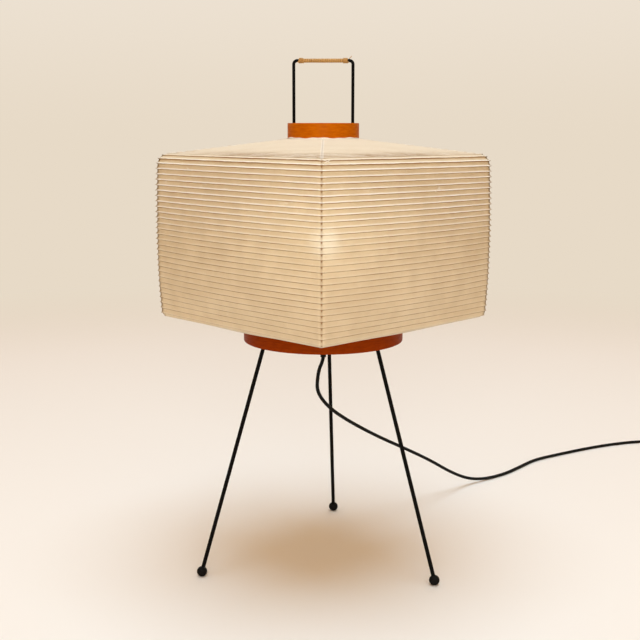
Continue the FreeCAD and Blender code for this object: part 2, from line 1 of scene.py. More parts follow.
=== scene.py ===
import bpy
import bmesh
import math
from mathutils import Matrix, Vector


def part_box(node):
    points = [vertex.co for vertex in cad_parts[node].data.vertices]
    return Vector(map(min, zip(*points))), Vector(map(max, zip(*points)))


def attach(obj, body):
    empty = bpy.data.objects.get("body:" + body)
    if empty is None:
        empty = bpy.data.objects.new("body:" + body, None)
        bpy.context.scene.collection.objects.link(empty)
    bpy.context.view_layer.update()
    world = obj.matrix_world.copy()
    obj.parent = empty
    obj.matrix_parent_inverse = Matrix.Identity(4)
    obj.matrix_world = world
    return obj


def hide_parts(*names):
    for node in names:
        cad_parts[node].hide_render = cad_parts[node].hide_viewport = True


# A paper lantern on three wire legs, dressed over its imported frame. Metres, floor at z 0.
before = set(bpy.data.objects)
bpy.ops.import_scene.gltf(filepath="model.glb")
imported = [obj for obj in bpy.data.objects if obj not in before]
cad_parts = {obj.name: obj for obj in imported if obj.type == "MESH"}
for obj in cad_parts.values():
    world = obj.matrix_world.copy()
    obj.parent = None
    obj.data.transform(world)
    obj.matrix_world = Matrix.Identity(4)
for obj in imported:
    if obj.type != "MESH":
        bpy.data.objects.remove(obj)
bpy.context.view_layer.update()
up = Vector((0, 0, 1))


# Small tools

def lerp(a, b, t):
    return a + (b - a) * t


def smooth(t):
    t = min(1.0, max(0.0, t))
    return t * t * (3 - 2 * t)


def outwards(degrees):
    heading = math.radians(degrees)
    return Vector((math.cos(heading), math.sin(heading), 0))


def camel(node):
    first, *others = node.split("_")
    return first + "".join(word.title() for word in others)


def placed(name, data):
    piece = bpy.data.objects.new(name, data)
    bpy.context.scene.collection.objects.link(piece)
    return piece


def smoothPiece(name, mesh, material):
    mesh.polygons.foreach_set("use_smooth", [True] * len(mesh.polygons))
    mesh.materials.append(material)
    mesh.update()
    return placed(name, mesh)


def meshPiece(name, points, faces, material):
    mesh = bpy.data.meshes.new(name)
    mesh.from_pydata([tuple(p) for p in points], [], faces)
    return smoothPiece(name, mesh, material)


def eased(profile, radius, steps=4, closed=True):
    # rounds each corner of a profile, with a close point on both sides to keep the flats flat
    result = []
    count = len(profile)
    for k, corner in enumerate(profile):
        here = Vector(corner)
        if not closed and k in (0, count - 1):
            result.append(here)
            continue
        back = Vector(profile[k - 1]) - here
        on = Vector(profile[(k + 1) % count]) - here
        half = back.angle(on) / 2
        reach = min(radius / math.tan(half), 0.4 * back.length, 0.4 * on.length)
        bend = reach * math.tan(half)
        back.normalize()
        on.normalize()
        centre = here + (back + on).normalized() * bend / math.sin(half)
        first, last = here + back * reach - centre, here + on * reach - centre
        result.append(here + back * reach * 1.3)
        for s in range(steps + 1):
            result.append(centre + first.lerp(last, s / steps).normalized() * bend)
        result.append(here + on * reach * 1.3)
    return result


def grooves(sizes, wide, start):
    # corners of ring grooves along a profile; each step of their shape is (how far in, how far along)
    corners = []
    for k in range(sizes["grooves"]):
        slim, along = wide - k * sizes["taper"], start + k * sizes["pitch"]
        corners += [(slim - deep, along + on) for deep, on in sizes["shape"]]
    return corners


def ringOf(middle, first, second, radius, sides):
    angles = [2 * math.pi * k / sides for k in range(sides)]
    return [middle + (first * math.cos(a) + second * math.sin(a)) * radius for a in angles]


def turnedMesh(profile, origin=(0, 0, 0), axis=(0, 0, 1), sides=96):
    # a profile of (radius, height) turned about an axis; ends at radius 0 close in a pole
    axis = Vector(axis)
    first = Vector((1, 0, 0)) if axis == up else axis.orthogonal().normalized()
    second = axis.cross(first)
    points, rows = [], []
    for radius, height in profile:
        middle = Vector(origin) + axis * height
        ring = ringOf(middle, first, second, radius, sides) if radius > 1e-7 else [middle]
        rows.append([len(points) + k % len(ring) for k in range(sides)])
        points += ring
    pairs = list(zip(rows, rows[1:]))
    if profile[0][0] > 1e-7:
        pairs.append((rows[-1], rows[0]))
    faces = []
    for low, high in pairs:
        for k in range(sides):
            j = (k + 1) % sides
            loop = tuple(dict.fromkeys((low[k], low[j], high[j], high[k])))
            if len(loop) > 2:
                faces.append(loop)
    return points, faces


def tubeFaces(rings, sides, closed=False):
    # the walls between rings of points, with two end caps unless the last ring meets the first
    faces = []
    for k in range(rings if closed else rings - 1):
        low, high = k * sides, (k + 1) % rings * sides
        for s in range(sides):
            t = (s + 1) % sides
            faces.append((low + s, low + t, high + t, high + s))
    caps = [tuple(reversed(range(sides))), tuple(range((rings - 1) * sides, rings * sides))]
    return faces if closed else faces + caps


def sweptMesh(path, radii, sides):
    # a round tube through points, with a radius for each and closed ends
    path = [Vector(p) for p in path]
    points = []
    first = None
    for k, here in enumerate(path):
        way = (path[min(k + 1, len(path) - 1)] - path[max(k - 1, 0)]).normalized()
        first = way.orthogonal() if first is None else first - way * first.dot(way)
        first.normalize()
        points += ringOf(here, first, way.cross(first), radii[k], sides)
    return points, tubeFaces(len(path), sides)


def strandPiece(name, paths, thick, thin, sides, material):
    # loose strands that end thin, in one piece
    points, faces = [], []
    for path in paths:
        somePoints, someFaces = sweptMesh(path, [thick] * (len(path) - 1) + [thin], sides)
        faces += [tuple(len(points) + k for k in face) for face in someFaces]
        points += somePoints
    return meshPiece(name, points, faces, material)


def asMesh(piece):
    # the evaluated shape as a plain mesh, with nothing left live on it
    graph = bpy.context.evaluated_depsgraph_get()
    mesh = bpy.data.meshes.new_from_object(piece.evaluated_get(graph), depsgraph=graph)
    mesh.name = piece.name
    piece.modifiers.clear()
    piece.data = mesh
    return piece


def settle(piece, body, slot, *nodes):
    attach(piece, body)
    if nodes:
        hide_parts(*nodes)
    return piece


def built(node, mesh, material, body, slot):
    return settle(meshPiece(camel(node), *mesh, material), body, slot, node)


def easedCopy(node, material, ease, slot, body="base"):
    # a node's own shape with its edges broken, where the solid is right as it is
    name = camel(node)
    mesh = bpy.data.meshes.new(name)
    shape = bmesh.new()
    shape.from_mesh(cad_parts[node].data)
    bmesh.ops.remove_doubles(shape, verts=shape.verts, dist=1e-6)
    flat = math.radians(2)
    bmesh.ops.dissolve_limit(shape, angle_limit=flat, verts=shape.verts, edges=shape.edges)
    shape.to_mesh(mesh)
    shape.free()
    piece = smoothPiece(name, mesh, material)
    bevel = piece.modifiers.new("brokenEdges", "BEVEL")
    bevel.width = ease
    bevel.segments = 2
    bevel.limit_method = "ANGLE"
    bevel.angle_limit = math.radians(40)
    bevel.harden_normals = True
    return settle(asMesh(piece), body, slot, node)


# Node tools

class Wire:
    # a node's output, to reckon with and to plug in
    def __init__(self, tree, socket):
        self.tree = tree
        self.socket = socket

    def __add__(self, other):
        return self.calc("ADD", other)

    def __sub__(self, other):
        return self.calc("SUBTRACT", other)

    def __rsub__(self, other):
        return wire(self.tree, "ShaderNodeMath", {0: other, 1: self}, operation="SUBTRACT")

    def __mul__(self, other):
        return self.calc("MULTIPLY", other)

    def __abs__(self):
        return self.calc("ABSOLUTE")

    def calc(self, operation, *others):
        inputs = dict(enumerate((self, *others)))
        return wire(self.tree, "ShaderNodeMath", inputs, operation=operation)

    def vector(self, operation, other=(0, 0, 0)):
        inputs = {0: self, "Scale" if operation == "SCALE" else 1: other}
        output = 1 if operation == "LENGTH" else 0
        return wire(self.tree, "ShaderNodeVectorMath", inputs, output, operation=operation)

    def parts(self):
        return list(wires(addNode(self.tree, "ShaderNodeSeparateXYZ", {0: self})).values())

    def noise(self, scale, detail, output=0, **more):
        inputs = {"Vector": self, "Scale": scale, "Detail": detail, **more}
        return wire(self.tree, "ShaderNodeTexNoise", inputs, output)

    def ranged(self, low, high, toLow=0.0, toHigh=1.0, kind="SMOOTHSTEP"):
        inputs = dict(enumerate((self, low, high, toLow, toHigh)))
        return wire(self.tree, "ShaderNodeMapRange", inputs, interpolation_type=kind)

    def mixed(self, first, second, blend="MIX"):
        inputs = {0: self, 6: first, 7: second}
        return wire(self.tree, "ShaderNodeMix", inputs, 2, data_type="RGBA", blend_type=blend)

    def bump(self, distance, strength):
        inputs = {"Height": self, "Distance": distance, "Strength": strength}
        return wire(self.tree, "ShaderNodeBump", inputs)


def addNode(tree, kind, inputs=None, **settings):
    node = tree.nodes.new(kind)
    for name, value in settings.items():
        setattr(node, name, value)
    plugIn(node, inputs or {})
    return node


def plugIn(node, inputs):
    for key, value in inputs.items():
        if isinstance(value, Wire):
            value.tree.links.new(value.socket, node.inputs[key])
        else:
            node.inputs[key].default_value = value


def wire(tree, kind, inputs=None, output=0, **settings):
    return Wire(tree, addNode(tree, kind, inputs, **settings).outputs[output])


def wires(node):
    return {socket.name: Wire(node.id_data, socket) for socket in node.outputs}


def addSocket(tree, name, kind, way="INPUT"):
    return tree.interface.new_socket(name=name, in_out=way, socket_type="NodeSocket" + kind)


def addValues(tree, values):
    kinds = {float: "Float", int: "Int", tuple: "Vector"}
    for name, value in values.items():
        addSocket(tree, name, kinds[type(value)]).default_value = value


def newTree(name, **values):
    tree = bpy.data.node_groups.new(name, "GeometryNodeTree")
    addSocket(tree, "Geometry", "Geometry")
    addValues(tree, values)
    addSocket(tree, "Material", "Material")
    addSocket(tree, "Geometry", "Geometry", "OUTPUT")
    return tree, wires(addNode(tree, "NodeGroupInput"))


def endTree(tree, given, geometry):
    whole = wire(tree, "GeometryNodeRealizeInstances", {"Geometry": geometry})
    soft = wire(tree, "GeometryNodeSetShadeSmooth", {"Geometry": whole})
    coat = {"Geometry": soft, "Material": given["Material"]}
    last = wire(tree, "GeometryNodeSetMaterial", coat)
    addNode(tree, "NodeGroupOutput", {"Geometry": last})
    return tree


def movedTree(tree, given, offset):
    inputs = {"Geometry": given["Geometry"], "Offset": offset}
    return endTree(tree, given, wire(tree, "GeometryNodeSetPosition", inputs))


def growPiece(piece, tree, **values):
    # runs a tree on a piece and keeps the result as its plain mesh
    modifier = piece.modifiers.new(tree.name, "NODES")
    modifier.node_group = tree
    values["Material"] = piece.data.materials[0]
    for item in tree.interface.items_tree:
        if item.in_out == "INPUT" and item.name in values:
            modifier[item.identifier] = values[item.name]
    return asMesh(piece)


def shaderGroup(name, outputs, **values):
    group = bpy.data.node_groups.new(name, "ShaderNodeTree")
    addValues(group, values)
    for output in outputs:
        addSocket(group, output, "Float", "OUTPUT")
    given = wires(addNode(group, "NodeGroupInput"))
    result = addNode(group, "NodeGroupOutput")
    return group, given, result, wire(group, "ShaderNodeTexCoord", output="Object")


def useGroup(tree, group, **values):
    return wires(addNode(tree, "ShaderNodeGroup", values, node_tree=group))


def newMaterial(name, plain):
    material = bpy.data.materials.new(name)
    material.use_nodes = True
    shader = material.node_tree.nodes["Principled BSDF"]
    plugIn(shader, plain)
    return material, material.node_tree, shader


# Shared finishes

def makeGrain():
    # fine uneven grain: a mask, and a roughness between two values
    group, given, result, place = shaderGroup(
        "fineGrain", ("Mask", "Roughness"),
        Scale=400.0, Along=(1, 1, 1), Smoothest=0.3, Roughest=0.5,
    )
    stretched = place.vector("MULTIPLY", given["Along"])
    mask = stretched.noise(given["Scale"], 5.0, Roughness=0.6).ranged(0.3, 0.7)
    rough = mask.ranged(0.0, 1.0, given["Smoothest"], given["Roughest"], kind="LINEAR")
    plugIn(result, {"Mask": mask, "Roughness": rough})
    return group


def makeDust():
    # a thin film of dust on faces that look up, patchy
    group, given, result, place = shaderGroup("settledDust", ("Mask",), Amount=0.3)
    lift = wire(group, "ShaderNodeNewGeometry", output="Normal").parts()[2]
    patch = place.noise(60.0, 6.0).ranged(0.35, 0.75)
    plugIn(result, {"Mask": lift.ranged(0.2, 0.95) * patch * given["Amount"]})
    return group


def makeGlow():
    # how near a place lies to the middle of a glow, which is the same at the front and the rear
    group, given, result, place = shaderGroup(
        "bulbGlow", ("Share",), Middle=(0, 0, 0), Narrow=(1, 1, 1), Reach=0.1,
    )
    x, y, z = place.parts()
    both = wire(group, "ShaderNodeCombineXYZ", {0: x, 1: abs(y), 2: z})
    apart = both.vector("SUBTRACT", given["Middle"])
    away = apart.vector("MULTIPLY", given["Narrow"]).vector("LENGTH")
    plugIn(result, {"Share": away.ranged(given["Reach"], 0.0)})
    return group


bulbLow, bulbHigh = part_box("bulb_glass")
bulbCentre = lerp(bulbLow.z, bulbHigh.z, 0.62)
fineGrain = makeGrain()
settledDust = makeDust()
bulbGlow = makeGlow()


# Materials

paperLook = {
    "sheet": (0.738, 0.614, 0.422, 1),
    "thick": (0.652, 0.530, 0.352, 1),
    # paler crown: painted light from above on the same paper
    "crown": (0.742, 0.640, 0.493, 1),
    # painted shade under each ridge
    "shaded": (0.89, 0.85, 0.79, 1),
    # painted highlight on the ridges; pale fibres, laps and the torn lip use it too
    "ridge": (0.93, 0.90, 0.84, 1),
    # dark line under each rib: the bamboo rib showing through, and painted shadow under the ridge
    "ribLine": (0.25, 0.125, 0.036, 1),
    # painted shade in the corner folds
    "fold": (0.31, 0.16, 0.055, 1),
    # painted shade where the paper's edge turns under
    "hem": (0.62, 0.55, 0.45, 1),
    # painted glow of the bulb's light through the paper
    "through": (0.12, 0.105, 0.066, 1),
    "throughShape": {"Middle": (0.0, 0.236, 0.515), "Narrow": (0.72, 0.72, 1.35), "Reach": 0.16},
    # painted hot spot of the bulb's light
    "spot": (0.16, 0.20, 0.20, 1),
    "spotShape": {"Middle": (0.006, 0.230, 0.497), "Reach": 0.030},
    # painted light from the bulb on the inner skin
    "inside": (0.62, 0.47, 0.28, 1),
    "insideShape": {"Middle": (0, 0, bulbCentre), "Reach": 0.36},
    "hemHeight": 0.3668,
    "crownRib": 13.5,
    "lap": 0.0030,
}


def washiPaper():
    plain = {"Roughness": 0.85, "Emission Strength": 1.0, "Specular IOR Level": 0.15}
    material, tree, shader = newMaterial("washiPaper", plain)
    crownRib, hemHeight = paperLook["crownRib"], paperLook["hemHeight"]

    def attribute(name):
        return wire(tree, "ShaderNodeAttribute", output="Fac", attribute_name=name)

    def cloudy(vector, scale, low, high, toLow=0.0, toHigh=1.0):
        return vector.noise(scale, 5.0, Roughness=0.6).ranged(low, high, toLow, toHigh)

    place = wire(tree, "ShaderNodeTexCoord", output="Object")
    _, depth, height = place.parts()
    rib, across, inside = attribute("rib"), attribute("across"), attribute("inside")
    below = (rib + cloudy(place, 45.0, 0.2, 0.8, -0.03, 0.03)).calc("FRACT")
    isCrown = rib.ranged(crownRib + 1.5, crownRib - 1.0)

    # pulp clouds and long fibres
    cloud = cloudy(place, 30.0, 0.3, 0.7)
    fibre = cloud * 0.0
    for turn, stretch in ((0.5, (60, 900, 900)), (2.1, (900, 60, 500)), (1.2, (700, 800, 70))):
        turned = wire(tree, "ShaderNodeMapping", {"Vector": place, "Rotation": (turn, turn, turn)})
        strands = cloudy(turned.vector("MULTIPLY", stretch), 1.0, 0.66, 0.74)
        fibre = fibre.calc("MAXIMUM", strands)

    # painted shade and highlight: each band is darkened under its ridge and painted pale towards the
    # next one, most of all high on the shade
    aside = abs(depth).ranged(0.13, 0.03, 0.0, 0.7) * isCrown
    nearShoulder = rib.ranged(8.5, 12.3, 0.22, 1.0) * (1.0 - aside)
    uneven = cloudy(place, 20.0, 0.3, 0.7, 0.7, 1.0)
    paintedRelief = height.ranged(0.47, 0.55, 0.15, 1.0) * nearShoulder * uneven
    shaded = below.ranged(0.65, 0.10) * paintedRelief * (1.0 - isCrown * 0.8)
    # painted highlight on each ridge
    ridge = below.ranged(0.70, 0.92).calc("MAXIMUM", below.ranged(0.05, 0.0)) * paintedRelief
    # pale streaks along the ribs, high on the shade: a painted highlight
    streakedHighlight = cloudy(place.vector("MULTIPLY", (22, 22, 130)), 1.0, 0.64, 0.74) * paintedRelief * 0.45
    # a dark line under each rib: partly the bamboo rib showing through, partly painted shadow under the
    # ridge
    lineEnd = rib.ranged(crownRib - 1.0, crownRib + 1.0, 0.30, 0.20)
    ribAndShadow = below.ranged(0.02, 0.06) * below.ranged(lineEnd, 0.12)
    ribAndShadow = ribAndShadow * height.ranged(0.38, 0.50, 0.85, 1.0) * nearShoulder * uneven

    # painted shade in the folds at the corners, dark under each rib; and the lap of the sheets on the
    # crown
    edge = 0.5 - abs(across - 0.5)
    dashed = below.ranged(0.65, 0.25, 0.16, 0.88)
    fold = edge.ranged(0.0070, 0.0018) * dashed * (1.0 - isCrown)
    out = place.vector("MULTIPLY", (1, 1, 0)).vector("LENGTH")
    lap = (edge * out * (1.45 / paperLook["lap"])).ranged(1.1, 0.9) * isCrown * 0.3
    lip = rib.ranged(-0.7, -0.95) * 0.8
    # the paper's edge where it turns under is painted greyer, a painted shade
    hem = height.ranged(hemHeight, hemHeight - 0.0008) * 0.5

    colour = (cloud * 0.8).mixed(paperLook["sheet"], paperLook["thick"])
    # the crown takes a paler colour, painted light from above; long fibres show pale
    colour = (fibre * 0.42).mixed(isCrown.mixed(colour, paperLook["crown"]), paperLook["ridge"])
    colour = shaded.mixed(colour, paperLook["shaded"], "MULTIPLY")
    for share, name in (
        (ridge, "ridge"), (streakedHighlight, "ridge"), (ribAndShadow, "ribLine"), (fold, "fold"),
        (lap, "ridge"), (lip, "ridge"), (hem, "hem"),
    ):
        colour = share.mixed(colour, paperLook[name])

    # painted light: a glow of the bulb's light is painted on the paper round the front and rear folds,
    # not at the ribs, and on the inner skin near the bulb
    bare = 1.0 - ribAndShadow.calc("MAXIMUM", fold)
    light = (0, 0, 0, 1)
    for name, where in (("through", bare), ("spot", bare), ("inside", inside)):
        near = useGroup(tree, bulbGlow, **paperLook[name + "Shape"])["Share"]
        light = (near * where).mixed(light, paperLook[name], "ADD")
    relieved = (fibre * 0.6 + cloud).bump(0.0003, 0.4)
    plugIn(shader, {"Base Color": colour, "Emission Color": light, "Normal": relieved})
    return material


def grained(name, first, second, plain, bump, dust=None, patches=None, **grain):
    # two colours mixed by their grain, with settled dust or larger patches where they are asked for
    material, tree, shader = newMaterial(name, plain)
    fine = useGroup(tree, fineGrain, **grain)
    mask = fine["Mask"]
    if patches:
        wide = useGroup(tree, fineGrain, Scale=patches)["Mask"]
        colour = (wide * 0.5).mixed((mask * 0.7).mixed(first, second), second)
    else:
        colour = mask.mixed(first, second)
    if dust:
        film = useGroup(tree, settledDust, Amount=dust[0])["Mask"]
        colour = film.mixed(colour, dust[1])
    look = {"Base Color": colour, "Roughness": fine["Roughness"], "Normal": mask.bump(*bump)}
    plugIn(shader, look)
    return material


def dark(name, colour, worn, smoothest, roughest, scale, depth=0.0001):
    # blackened steel, rubber and moulded plastics, by colour and grain
    return grained(
        name, (*colour, 1), (*worn, 1), {"IOR": 1.10}, (depth, 0.4),
        dust=(0.010, (0.35, 0.31, 0.26, 1)),
        Scale=scale, Smoothest=smoothest, Roughest=roughest,
    )


def strip(name, pale, brown, along, scale):
    # split cane and bamboo: long fibres, with browner patches
    return grained(
        name, pale, brown, {"Specular IOR Level": 0.4}, (0.0002, 0.5), patches=scale * 0.35,
        Scale=scale, Along=along, Smoothest=0.42, Roughest=0.65,
    )


def litGlass():
    plain = {"Base Color": (0.80, 0.76, 0.68, 1), "Emission Strength": 0.45, "Coat Weight": 0.4}
    material, tree, shader = newMaterial("frostedGlass", plain)
    frost = useGroup(tree, fineGrain, Scale=900.0, Smoothest=0.3, Roughest=0.42)
    near = useGroup(tree, bulbGlow, Middle=(0, 0, bulbCentre), Reach=0.06)["Share"]
    glow = near.mixed((0.5, 0.3, 0.12, 1), (1.0, 0.80, 0.50, 1))
    plugIn(shader, {"Roughness": frost["Roughness"], "Emission Color": glow})
    return material


lacquer = {
    "plain": {"IOR": 1.08}, "bump": (0.0001, 0.25), "dust": (0.03, (0.6, 0.4, 0.2, 1)),
    "Scale": 90.0, "Along": (1, 1, 6), "Smoothest": 0.30, "Roughest": 0.42,
}
metal = {
    "plain": {"Metallic": 1.0}, "bump": (0.0001, 0.3),
    "Scale": 300.0, "Along": (1, 1, 8), "Smoothest": 0.22, "Roughest": 0.42,
}
paper = washiPaper()
orange = grained("orangeLacquer", (0.56, 0.140, 0.002, 1), (0.45, 0.090, 0.001, 1), **lacquer)
# the hoop shares the collar's lacquer, painted darker as shade under the paper
shadedOrange = grained("shadedOrangeLacquer", (0.28, 0.038, 0.001, 1), (0.21, 0.025, 0.001, 1), **lacquer)
blackSteel = dark("blackSteel", (0.003, 0.003, 0.003), (0.007, 0.006, 0.005), 0.52, 0.68, 500.0, 0.00004)
footRubber = dark("footBall", (0.005, 0.005, 0.005), (0.011, 0.010, 0.009), 0.35, 0.55, 350.0)
cordSkin = dark("cordSkin", (0.007, 0.007, 0.007), (0.013, 0.013, 0.012), 0.45, 0.6, 600.0)
switchPlastic = dark("switchPlastic", (0.014, 0.014, 0.014), (0.020, 0.020, 0.020), 0.4, 0.55, 1200.0)
holderPlastic = dark("holderPlastic", (0.014, 0.013, 0.012), (0.024, 0.022, 0.020), 0.3, 0.45, 800.0)
cane = strip("splitCane", (0.64, 0.37, 0.12, 1), (0.36, 0.17, 0.04, 1), (40, 3, 3), 60.0)
bamboo = strip("bambooStrip", (0.46, 0.30, 0.13, 1), (0.27, 0.16, 0.06, 1), (1, 1, 30), 120.0)
brass = grained("brass", (0.72, 0.50, 0.20, 1), (0.42, 0.27, 0.10, 1), **metal)
capMetal = grained("capMetal", (0.70, 0.69, 0.66, 1), (0.45, 0.44, 0.42, 1), **metal)
glass = litGlass()
print("materials ready")


# Cords: the run from the lamp to its switch, and the rest put away in a tied coil

cordSize = {"diameter": 0.0054, "lie": 0.0029}
lie = cordSize["lie"]  # height of a cord's middle on the floor
runRoute = [
    (0, 0, 0.305), (-0.001, 0, 0.298), (-0.006, 0, 0.287), (-0.0083, 0.0005, 0.272),
    (-0.0093, 0.0035, 0.256), (-0.003, 0.0165, 0.238),
    (0.0135, 0.0438, 0.2127), (0.046, 0.091, 0.179), (0.090, 0.146, 0.141),
    (0.137, 0.197, 0.106), (0.182, 0.243, 0.072), (0.222, 0.286, 0.037), (0.258, 0.324, 0.012),
    (0.292, 0.350, lie), (0.332, 0.3785, lie), (0.368, 0.4215, lie), (0.405, 0.4685, lie),
    (0.461, 0.5055, lie), (0.526, 0.5465, lie), (0.592, 0.5795, lie), (0.655, 0.598, lie),
    (0.702, 0.597, lie), (0.733, 0.570, 0.0045), (0.738, 0.528, 0.0075), (0.738, 0.486, 0.0075),
]
coil = {
    "leadIn": [(0.738, 0.424, 0.0075), (0.738, 0.4024, 0.0075), (0.738, 0.3804, lie)],
    "centre": Vector((0.698, 0.3624, lie)),
    "ends": (0.040, -0.040, 0.0276, -0.0276, 0.0152, -0.0276, 0.0276, -0.040),
    "climb": 3,
    "lift": 0.0074,
    "tail": 0.034,
    "pointsPerHalf": 8,
}


def cordPiece(name, route):
    curve = bpy.data.curves.new(name, "CURVE")
    curve.dimensions = "3D"
    curve.bevel_depth = cordSize["diameter"] / 2
    curve.bevel_resolution = 5
    curve.use_fill_caps = True
    curve.resolution_u = 8
    spline = curve.splines.new("NURBS")
    spline.points.add(len(route) - 1)
    for point, place in zip(spline.points, route):
        point.co = (*place, 1)
    spline.order_u = 3
    spline.use_endpoint_u = True
    curve.materials.append(cordSkin)
    return placed(name, curve)


def coilRoute():
    # half turns that spiral in on the floor, climb a layer and spiral out again
    route = list(coil["leadIn"])
    steps = coil["pointsPerHalf"]
    spread = 1 / math.cos(math.pi / steps / 2)
    for k, (start, end) in enumerate(zip(coil["ends"], coil["ends"][1:])):
        way = -1 if k % 2 == 0 else 1
        for s in range(steps):
            angle = math.pi * (s + 0.5) / steps
            x = (start + end) / 2 + (start - end) / 2 * math.cos(angle) * spread
            y = way * abs(start - end) / 2 * math.sin(angle) * spread
            climbed = smooth(k - coil["climb"] + (s + 0.5) / steps)
            route.append(coil["centre"] + Vector((x, y, coil["lift"] * climbed)))
    last = coil["centre"] + Vector((coil["ends"][-1], 0, coil["lift"]))
    return route + [last + Vector((0, coil["tail"] * t, 0)) for t in (0.15, 0.5, 1.0)]


cordRun = settle(cordPiece("cordRun", runRoute), "base", "cord_black", "cord_run")
cordCoil = settle(cordPiece("cordCoil", coilRoute()), "base", "cord_black", "cord_coil")


bootSize = {
    "length": 0.021,
    "root": 0.0052,
    "wide": 0.0050,
    "end": 0.0031,
    "start": 0.00252,
    "grooves": 5,
    "pitch": 0.00336,
    "taper": 0.00032,
    "shape": ((0, 0), (0, 0.0019), (0.0009, 0.0021), (0.0009, 0.0031)),
}


def boot(name, mouth, way):
    # a tapered, ringed strain relief that grows out of a housing
    length = bootSize["length"]
    profile = [(0.0, 0.0), (bootSize["root"], 0.0)]
    profile += grooves(bootSize, bootSize["wide"], bootSize["start"])
    profile += [(bootSize["end"], length), (0.0, length)]
    points = eased(profile, 0.00035, steps=2, closed=False)
    mesh = turnedMesh(points, origin=mouth, axis=way, sides=40)
    return settle(meshPiece(name, *mesh, cordSkin), "base", "cord_black")


def coilTie():
    # a flat band round the coil's turns
    band = {"reach": 0.0128, "rise": 0.0066, "half": 0.0022, "thick": 0.0006, "steps": 40}
    middle = coil["centre"] + Vector((0, -0.0303, 0.0037))
    points = []
    for s in range(band["steps"]):
        angle = 2 * math.pi * s / band["steps"]
        ways = (math.cos(angle), math.sin(angle))
        bend, lift = (math.copysign(abs(way) ** 0.6, way) for way in ways)
        for grow, side in ((0, -1), (0, 1), (1, 1), (1, -1)):
            along = bend * (band["reach"] + grow * band["thick"])
            rise = lift * (band["rise"] + grow * band["thick"])
            place = middle + Vector((-side * band["half"], along, rise))
            place.z = max(place.z, 0.0 if grow else 0.00015)
            points.append(place)
    faces = tubeFaces(band["steps"], 4, closed=True)
    return settle(meshPiece("coilTie", points, faces, switchPlastic), "base", "cord_black")


bootIn = boot("switchBootIn", runRoute[-1], (0, 1, 0))
bootOut = boot("switchBootOut", coil["leadIn"][0], (0, -1, 0))
plugBoot = boot("plugBoot", (0.658, 0.3964, 0.0103), (0, -1, 0))
tie = coilTie()
print("cords laid")


# Switch and plug

switchParts = [
    easedCopy("switch_base", switchPlastic, 0.0008, "switch_black"),
    easedCopy("switch_cover", switchPlastic, 0.0006, "switch_black"),
    easedCopy("switch_rocker", switchPlastic, 0.0005, "switch_black", "rocker"),
]
plugParts = [
    easedCopy("plug_body", switchPlastic, 0.0006, "switch_black"),
    easedCopy("plug_blades", brass, 0.0004, "brass"),
]
print("switch and plug joined")


# Paper shade

collarLow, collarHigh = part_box("top_collar")
hoopLow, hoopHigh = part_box("bottom_hoop")
shade = {
    "fit": 0.00025,
    "collarShown": 0.0216,
    "hoopShown": 0.022,
    "shoulderRadius": 0.238,
    "crownFall": 0.0221,
    "shoulderRound": 0.016,
    "hemInset": 0.0022,
    "hemRise": 0.0112,
    "hemRound": 0.008,
    "swell": 0.0038,
    "bowShoulder": 0.004,
    "bowBelly": 0.013,
    "bowHem": 0.0015,
    "bellyDrop": 0.17,
    "bellyRise": 0.052,
    "wall": 0.0006,
    "crownTurns": 14,
    "sideTurns": 32,
    "underTurns": 10,
    "lipHeight": 0.0009,
    "columns": 50,
    "bandRows": (0.0, 0.045, 0.09, 0.15, 0.24, 0.45, 0.66, 0.80, 0.89, 0.955),
    "sagCrown": 0.0005,
    "sagShoulder": 0.0009,
    "sagHigh": 0.0019,
    "sagLow": 0.0009,
    "dip": (
        (0.045, 0.30), (0.10, 0.76), (0.19, 0.97), (0.40, 1.0), (0.66, 0.86), (0.82, 0.56), (0.93, 0.16),
    ),
}
crownTurns, sideTurns, underTurns = shade["crownTurns"], shade["sideTurns"], shade["underTurns"]
turns = crownTurns + sideTurns + underTurns
paperTop = collarHigh.z - shade["collarShown"]
paperBottom = hoopLow.z + shade["hoopShown"]
shoulderHeight = paperTop - shade["crownFall"]
hemHeight = paperBottom + shade["hemRise"]
outlineCorners = [
    Vector((collarHigh.x + shade["fit"], paperTop)),
    Vector((shade["shoulderRadius"], shoulderHeight)),
    Vector((shade["shoulderRadius"] - shade["hemInset"], hemHeight)),
    Vector((hoopHigh.x + shade["fit"], paperBottom)),
]


def rounding(before, corner, after, radius):
    back = (before - corner).normalized()
    on = (after - corner).normalized()
    half = back.angle(on) / 2
    reach = radius / math.tan(half)
    centre = corner + (back + on).normalized() * radius / math.sin(half)
    return corner + back * reach, corner + on * reach, centre, radius, math.pi - 2 * half


shoulderArc = rounding(*outlineCorners[0:3], shade["shoulderRound"])
hemArc = rounding(*outlineCorners[1:4], shade["hemRound"])


def onLine(start, end, share):
    way = (end - start).normalized()
    return start.lerp(end, share), Vector((-way.y, way.x))


def onArc(arc, share):
    start, _, centre, _, angle = arc
    turnedBy = -angle * share
    spoke = start - centre
    c, s = math.cos(turnedBy), math.sin(turnedBy)
    spoke = Vector((spoke.x * c - spoke.y * s, spoke.x * s + spoke.y * c))
    return centre + spoke, spoke.normalized()


def outlineAt(turn):
    # the corner outline's point and outward normal after so many turns of the spiral rib
    if turn < 0:
        lip = outlineCorners[0] + Vector((shade["wall"], shade["wall"] - turn * shade["lipHeight"]))
        return lip, Vector((1, 0))
    if turn <= crownTurns:
        return onLine(outlineCorners[0], shoulderArc[0], turn / crownTurns)
    if turn > crownTurns + sideTurns:
        share = (turn - crownTurns - sideTurns) / underTurns
        return onLine(hemArc[1], outlineCorners[3], min(1.0, share))
    bends = [arc[3] * arc[4] for arc in (shoulderArc, hemArc)]
    straight = (hemArc[0] - shoulderArc[1]).length
    distance = (turn - crownTurns) / sideTurns * (sum(bends) + straight)
    if distance < bends[0]:
        return onArc(shoulderArc, distance / bends[0])
    if distance < bends[0] + straight:
        return onLine(shoulderArc[1], hemArc[0], (distance - bends[0]) / straight)
    return onArc(hemArc, (distance - bends[0] - straight) / bends[1])


